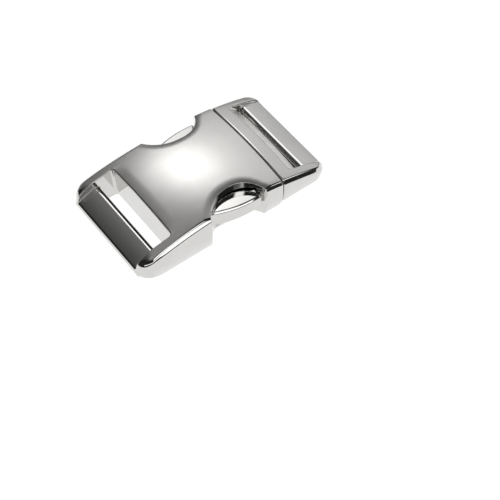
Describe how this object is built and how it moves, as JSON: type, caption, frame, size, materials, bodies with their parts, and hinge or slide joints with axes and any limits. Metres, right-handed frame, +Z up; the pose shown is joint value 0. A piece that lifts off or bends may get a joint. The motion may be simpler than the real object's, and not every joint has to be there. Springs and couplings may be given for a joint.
{
  "type": "side release buckle",
  "caption": "Metal side release buckle for flat webbing, fastened: domed socket and plug with strap bars, and two sprung arms whose finger pads sit in side notches.",
  "frame": {"origin": "middle of the outer box at the flat underside", "axes": "+X along the strap from the socket's strap end to the plug's strap end, +Y across the strap, +Z up out of the domed face"},
  "size_m": [0.0596, 0.033, 0.0128],
  "materials": {
    "satin_nickel": "satin nickel plate on cast zinc, polished on sides and chamfers",
    "polished_nickel": "bright polished nickel plate on cast zinc",
    "steel": "plain drawn steel"
  },
  "bodies": {
    "root": {"socket": "satin_nickel", "plug": "satin_nickel", "arm_left": "polished_nickel", "arm_right": "polished_nickel", "pin_left": "steel", "pin_right": "steel", "spring": "steel"}
  },
  "joints": []
}
